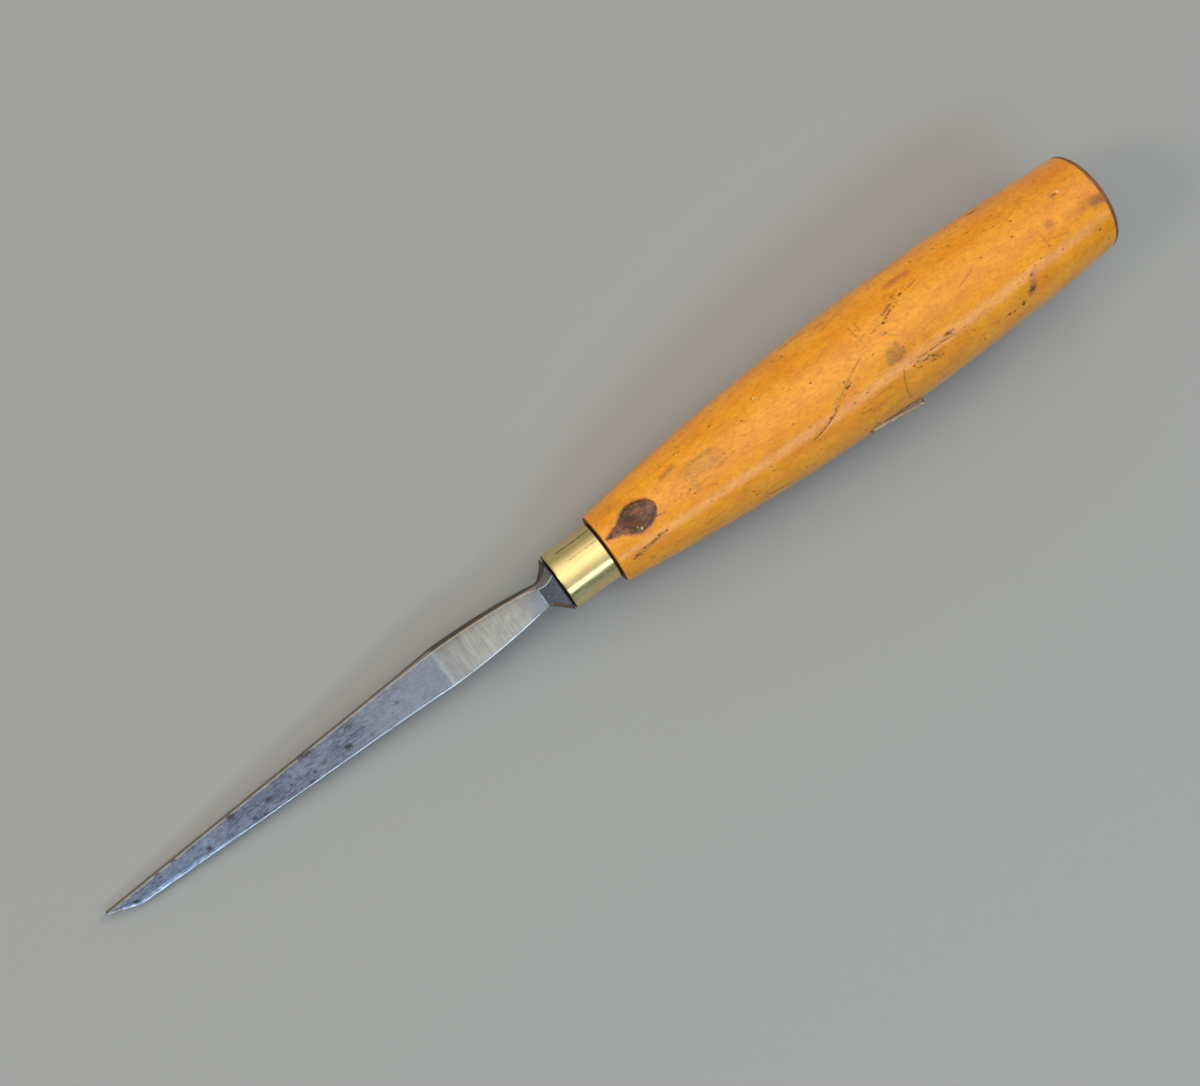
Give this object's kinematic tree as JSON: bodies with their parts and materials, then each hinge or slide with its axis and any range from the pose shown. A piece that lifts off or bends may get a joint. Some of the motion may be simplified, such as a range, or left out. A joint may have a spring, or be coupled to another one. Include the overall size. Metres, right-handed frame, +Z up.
{
  "type": "carving chisel",
  "caption": "Narrow straight wood-carving chisel: single-bevel steel blade with flared bolster and hidden tang, brass ferrule and turned barrel-shaped wooden handle, lying on its side.",
  "frame": {"origin": "middle of the bounding box on the bench that the tool lies on", "axes": "+X along the tool towards the cutting edge, +Z up from the bench, +Y towards the bevel side of the blade"},
  "size_m": [0.2582, 0.0276, 0.0304],
  "materials": {
    "tool_steel": "ground, worn, with small rust pits",
    "brass": "rubbed, with fine scratches along the tube",
    "boxwood": "old wax polish, hand-worn"
  },
  "bodies": {
    "root": {"blade": "tool_steel", "ferrule": "brass", "handle": "boxwood"}
  },
  "joints": []
}
